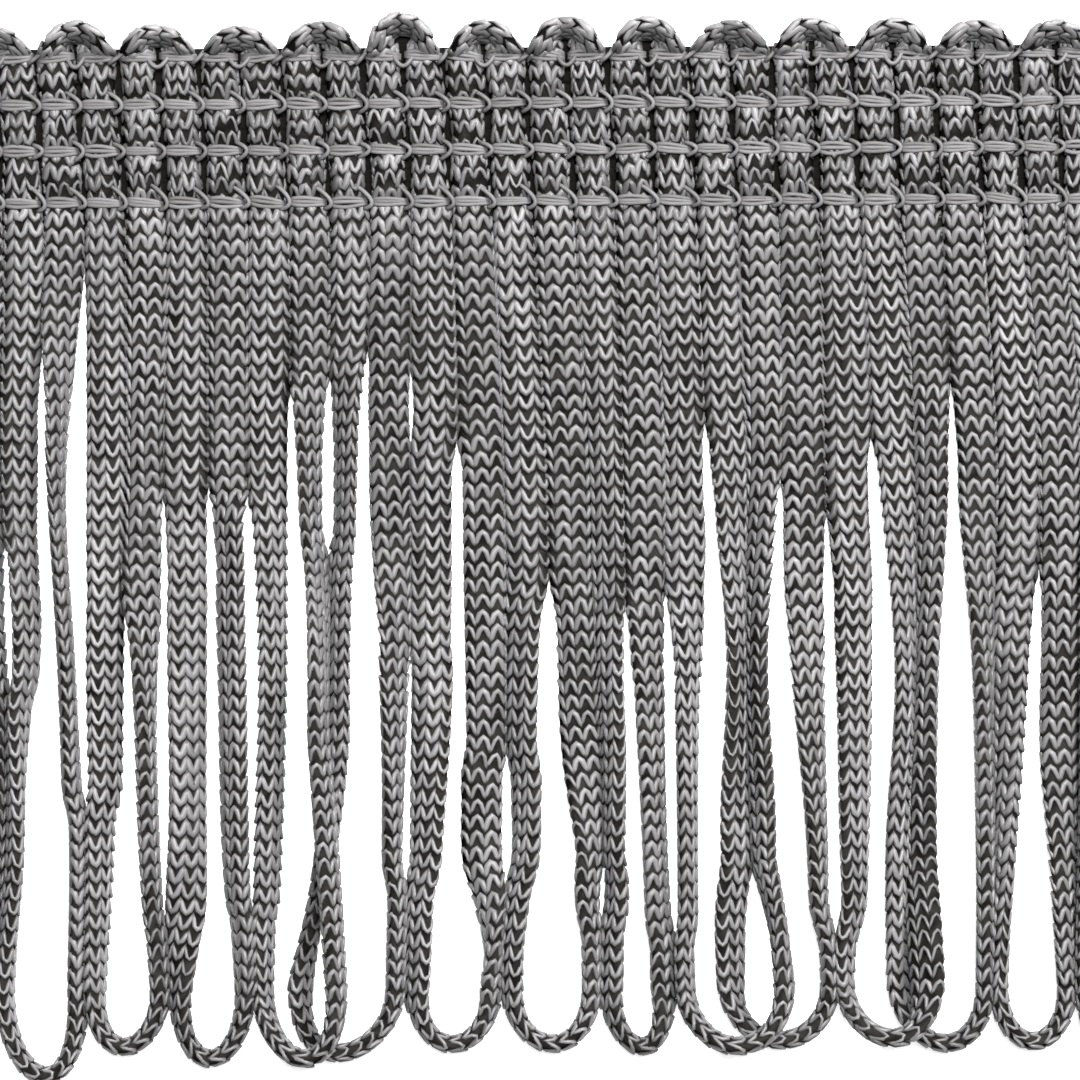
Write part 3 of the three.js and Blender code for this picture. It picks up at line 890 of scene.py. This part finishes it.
def thread_tube(path, radius, flatness=1.0):
    """Points, triangles and fibre coordinates of a thread along a path"""
    tangent = unit(np.gradient(path, axis=0))
    upright = np.array([0.0, 0.0, 1.0])
    side = unit(np.cross(tangent, upright))
    out = np.cross(side, tangent) * flatness
    turns = 2 * np.pi * np.arange(THREAD_SIDES) / THREAD_SIDES
    ring = side[:, None] * np.cos(turns)[:, None] + out[:, None] * np.sin(turns)[:, None]
    points = (path[:, None] + radius * ring).reshape(-1, 3)
    fibre = np.zeros((len(points), 3))
    fibre[:, 0] = np.repeat(run_along(path), THREAD_SIDES)
    fibre[:, 1] = np.tile(np.cos(turns), len(path))
    points = np.vstack([points, path[0], path[-1]])
    fibre = np.vstack([fibre, fibre[0], fibre[-1]])
    return points, tube_faces(len(path), THREAD_SIDES), fibre


def band_path(strand, y, lane, opening, slope):
    """One of the threads that lie along a pass, drawn together at the ends"""
    left = pass_x(strand, y) - STRAND_PITCH / 2 + BAND_FROM_GAP
    right = pass_x(strand, y) + STRAND_PITCH / 2 - BAND_TO_GAP
    share = np.linspace(0, 1, BAND_POINTS)
    open_share = BAND_CLOSED + BAND_OPEN * opening * np.sin(np.pi * share**BAND_SKEW)
    apart = lane * open_share * rng.normal(1, BAND_STRAY)
    tilt = slope * (1 - 2 * share)
    ends = smoothstep(np.abs(2 * share - 1), BAND_DIP_FROM, 1)
    z = BAND_LEVEL - (BAND_LEVEL - BAND_END_LEVEL) * ends
    return np.column_stack([left + (right - left) * share, y + apart + tilt, z])


def crossing_path(strand, row):
    """The bend of thread that crosses the gap to the right of a pass"""
    y = CHAIN_ROWS[row]
    gap = np.array([pass_x(strand, y) + STRAND_PITCH / 2, y])
    crossing = CROSSINGS[row][strand % len(CROSSINGS[row])]
    stray = rng.normal(0, CROSS_STRAY, 2)
    start = gap + crossing["start"] + stray
    end = gap + crossing["end"] - stray
    tip = gap + crossing["tip"]
    share = np.linspace(0, 1, CROSS_POINTS)[:, None]
    pull = tip + (tip - (start + end) / 2) * CROSS_PULL
    bend = (1 - share) ** 2 * start + 2 * share * (1 - share) * pull + share**2 * end
    ends = smoothstep(np.abs(2 * share[:, 0] - 1), CROSS_DIP_FROM, 1)
    z = CROSS_LEVEL - (CROSS_LEVEL - CROSS_END_LEVEL) * ends
    return np.column_stack([bend, z])


def join_tubes(tubes):
    """Several threads as one set of points, triangles, fibre coordinates and tones"""
    starts = np.cumsum([0] + [len(points) for points, _, _ in tubes])
    points = np.vstack([tube[0] for tube in tubes])
    faces = np.vstack([tube[1] + start for tube, start in zip(tubes, starts)])
    fibre = np.vstack([tube[2] + [0, 0, THREAD_FIBRE_SHIFT * i] for i, tube in enumerate(tubes)])
    tones = np.clip(rng.normal(THREAD_TONE, THREAD_TONE_STRAY, len(tubes)), LEAST_THREAD_TONE, 1)
    return points, faces, fibre, np.repeat(tones, [len(tube[0]) for tube in tubes])


def chain_piece(row, material):
    """One row of chain stitch"""
    threads = []
    for strand in range(len(STRANDS)):
        opening = rng.uniform(*BAND_OPENINGS)
        slope = rng.normal(BAND_SLOPE, BAND_SLOPE_STRAY)
        for lane in BAND_LANES:
            path = band_path(strand, CHAIN_ROWS[row], lane, opening, slope)
            threads.append(thread_tube(path, BAND_RADIUS, BAND_FLATNESS))
        if strand + 1 < len(STRANDS):
            threads.append(thread_tube(crossing_path(strand, row), CROSS_RADIUS))
    piece = make_piece(f"chain_stitch_{row + 1}", *join_tubes(threads), [material])
    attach(piece, "root")
    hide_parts(f"chain_row_{row + 1}")


def backing_piece(material):
    """The binding threads pressed together behind the passes, near black as painted shade in the slots
    between them
    """
    middle = (BACKING_LOW + BACKING_TOP) / 2
    radius = (BACKING_TOP - BACKING_LOW) / 2
    along = np.linspace(-LENGTH / 2 + BACKING_INSET, LENGTH / 2 - BACKING_INSET, BACKING_POINTS)
    first_scallop = (pass_x(1, HEADING_TOP) + pass_x(2, HEADING_TOP)) / 2
    threads = []
    for y in np.linspace(ROOT + BACKING_FOOT, HEADING_TOP - BACKING_HEAD, BACKING_THREADS):
        x = along - PASS_LEAN * y
        wave = np.cos(2 * np.pi * (x - first_scallop) / (2 * STRAND_PITCH))
        reach = np.where(wave > 0, BACKING_RISE, BACKING_DIP)
        rise = reach * smoothstep(y, 0, HEADING_TOP) * wave
        path = np.column_stack([x, y + rise, np.full(len(x), middle)])
        points, faces, fibre = thread_tube(path, radius)
        line = np.interp(points[:, 0], x, y + rise)
        points[:, 1] = line + (points[:, 1] - line) * BACKING_SPREAD
        threads.append((points, faces, fibre))
    piece = make_piece("heading_backing", *join_tubes(threads), [material])
    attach(piece, "root")
    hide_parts("fringe")


def tinted(grey):
    """The colour of a grey, warm where it is dark"""
    green = grey * np.interp(grey, (0, LIGHT_GREY), GREEN_SHARES)
    blue = grey * np.interp(grey, (0, LIGHT_GREY), BLUE_SHARES)
    return (grey, green, blue, 1)


def yarn_material(name):
    """Silky rayon: a tone for each stitch, broken up by fine fibres along it"""
    look = YARNS[name]
    material = bpy.data.materials.new(name)
    material.use_nodes = True
    nodes = material.node_tree.nodes
    links = material.node_tree.links
    shader = nodes["Principled BSDF"]
    shader.inputs["Roughness"].default_value = look["roughness"]
    shader.inputs["Specular IOR Level"].default_value = look["shine"]
    fibre = nodes.new("ShaderNodeAttribute")
    fibre.attribute_name = "fibre"
    stretch = nodes.new("ShaderNodeMapping")
    stretch.inputs["Scale"].default_value = FIBRE_SCALE
    noise = nodes.new("ShaderNodeTexNoise")
    noise.inputs["Scale"].default_value = 1
    noise.inputs["Detail"].default_value = FIBRE_DETAIL
    tone = nodes.new("ShaderNodeAttribute")
    tone.attribute_name = "tone"
    streak = nodes.new("ShaderNodeMath")
    streak.operation = "MULTIPLY_ADD"
    streak.inputs[1].default_value = STREAK
    streak.inputs[2].default_value = STREAK_LEAST
    shade = nodes.new("ShaderNodeMath")
    shade.operation = "MULTIPLY"
    colour = nodes.new("ShaderNodeValToRGB")
    elements = colour.color_ramp.elements
    for place, _ in look["ramp"][1:-1]:
        elements.new(place)
    for element, (place, grey) in zip(elements, look["ramp"]):
        element.position = place
        element.color = tinted(grey)
    bump = nodes.new("ShaderNodeBump")
    bump.inputs["Strength"].default_value = FIBRE_BUMP
    bump.inputs["Distance"].default_value = FIBRE_HEIGHT * MM
    links.new(fibre.outputs["Vector"], stretch.inputs["Vector"])
    links.new(stretch.outputs["Vector"], noise.inputs["Vector"])
    links.new(noise.outputs["Fac"], streak.inputs[0])
    links.new(streak.outputs[0], shade.inputs[0])
    links.new(tone.outputs["Fac"], shade.inputs[1])
    links.new(shade.outputs[0], colour.inputs["Fac"])
    links.new(colour.outputs["Color"], shader.inputs["Base Color"])
    links.new(noise.outputs["Fac"], bump.inputs["Height"])
    links.new(bump.outputs["Normal"], shader.inputs["Normal"])
    return material


def add_floor():
    """A wide white floor"""
    material = bpy.data.materials.new("floor_white")
    material.use_nodes = True
    shader = material.node_tree.nodes["Principled BSDF"]
    shader.inputs["Base Color"].default_value = (FLOOR_GREY, FLOOR_GREY, FLOOR_GREY, 1)
    shader.inputs["Roughness"].default_value = FLOOR_ROUGHNESS
    shader.inputs["Specular IOR Level"].default_value = FLOOR_SHINE
    shader.inputs["Emission Color"].default_value = (1, 1, 1, 1)
    shader.inputs["Emission Strength"].default_value = FLOOR_GLOW
    bpy.ops.mesh.primitive_plane_add(size=FLOOR_SIZE)
    floor = bpy.context.object
    floor.name = "floor"
    floor.data.materials.append(material)
    floor.visible_diffuse = False


def add_light(name, place, size, power):
    """A soft square light that faces the fringe"""
    data = bpy.data.lights.new(name, "AREA")
    data.size = size
    data.energy = power
    light = bpy.data.objects.new(name, data)
    bpy.context.scene.collection.objects.link(light)
    direction = np.array(LIGHT_AIM) - np.array(place)
    flat = math.hypot(direction[0], direction[1])
    light.location = place
    light.rotation_euler = (math.atan2(flat, -direction[2]), 0, math.atan2(-direction[0], direction[1]))


def add_camera():
    """A camera straight above the fringe, with a little of its own roll"""
    data = bpy.data.cameras.new("camera")
    data.lens = CAMERA_LENS
    data.sensor_width = CAMERA_SENSOR
    distance = FRAME_WIDTH * CAMERA_LENS / CAMERA_SENSOR
    camera = bpy.data.objects.new("camera", data)
    camera.location = (CAMERA_X * MM, CAMERA_Y * MM, (distance + LOOK_LEVEL) * MM)
    camera.rotation_euler = (0, 0, math.radians(CAMERA_ROLL))
    bpy.context.scene.collection.objects.link(camera)
    bpy.context.scene.camera = camera


def add_world():
    """Dim even light from all round"""
    world = bpy.data.worlds.new("world")
    world.use_nodes = True
    background = world.node_tree.nodes["Background"]
    background.inputs["Color"].default_value = (1, 1, 1, 1)
    background.inputs["Strength"].default_value = WORLD_STRENGTH
    bpy.context.scene.world = world


add_camera()
add_world()
add_floor()
for light_row in LIGHTS:
    add_light(**light_row)
bpy.context.scene.view_settings.view_transform = "Standard"

cord_yarn = yarn_material("cord_rayon")
cord_core_shade = yarn_material("cord_core_shade")
backing_yarn = yarn_material("backing_yarn")
chain_yarn = yarn_material("chain_rayon")
for loop_index in range(len(LOOPS)):
    loop_piece(loop_index, cord_yarn, cord_core_shade)
for chain_row in range(len(CHAIN_ROWS)):
    chain_piece(chain_row, chain_yarn)
backing_piece(backing_yarn)
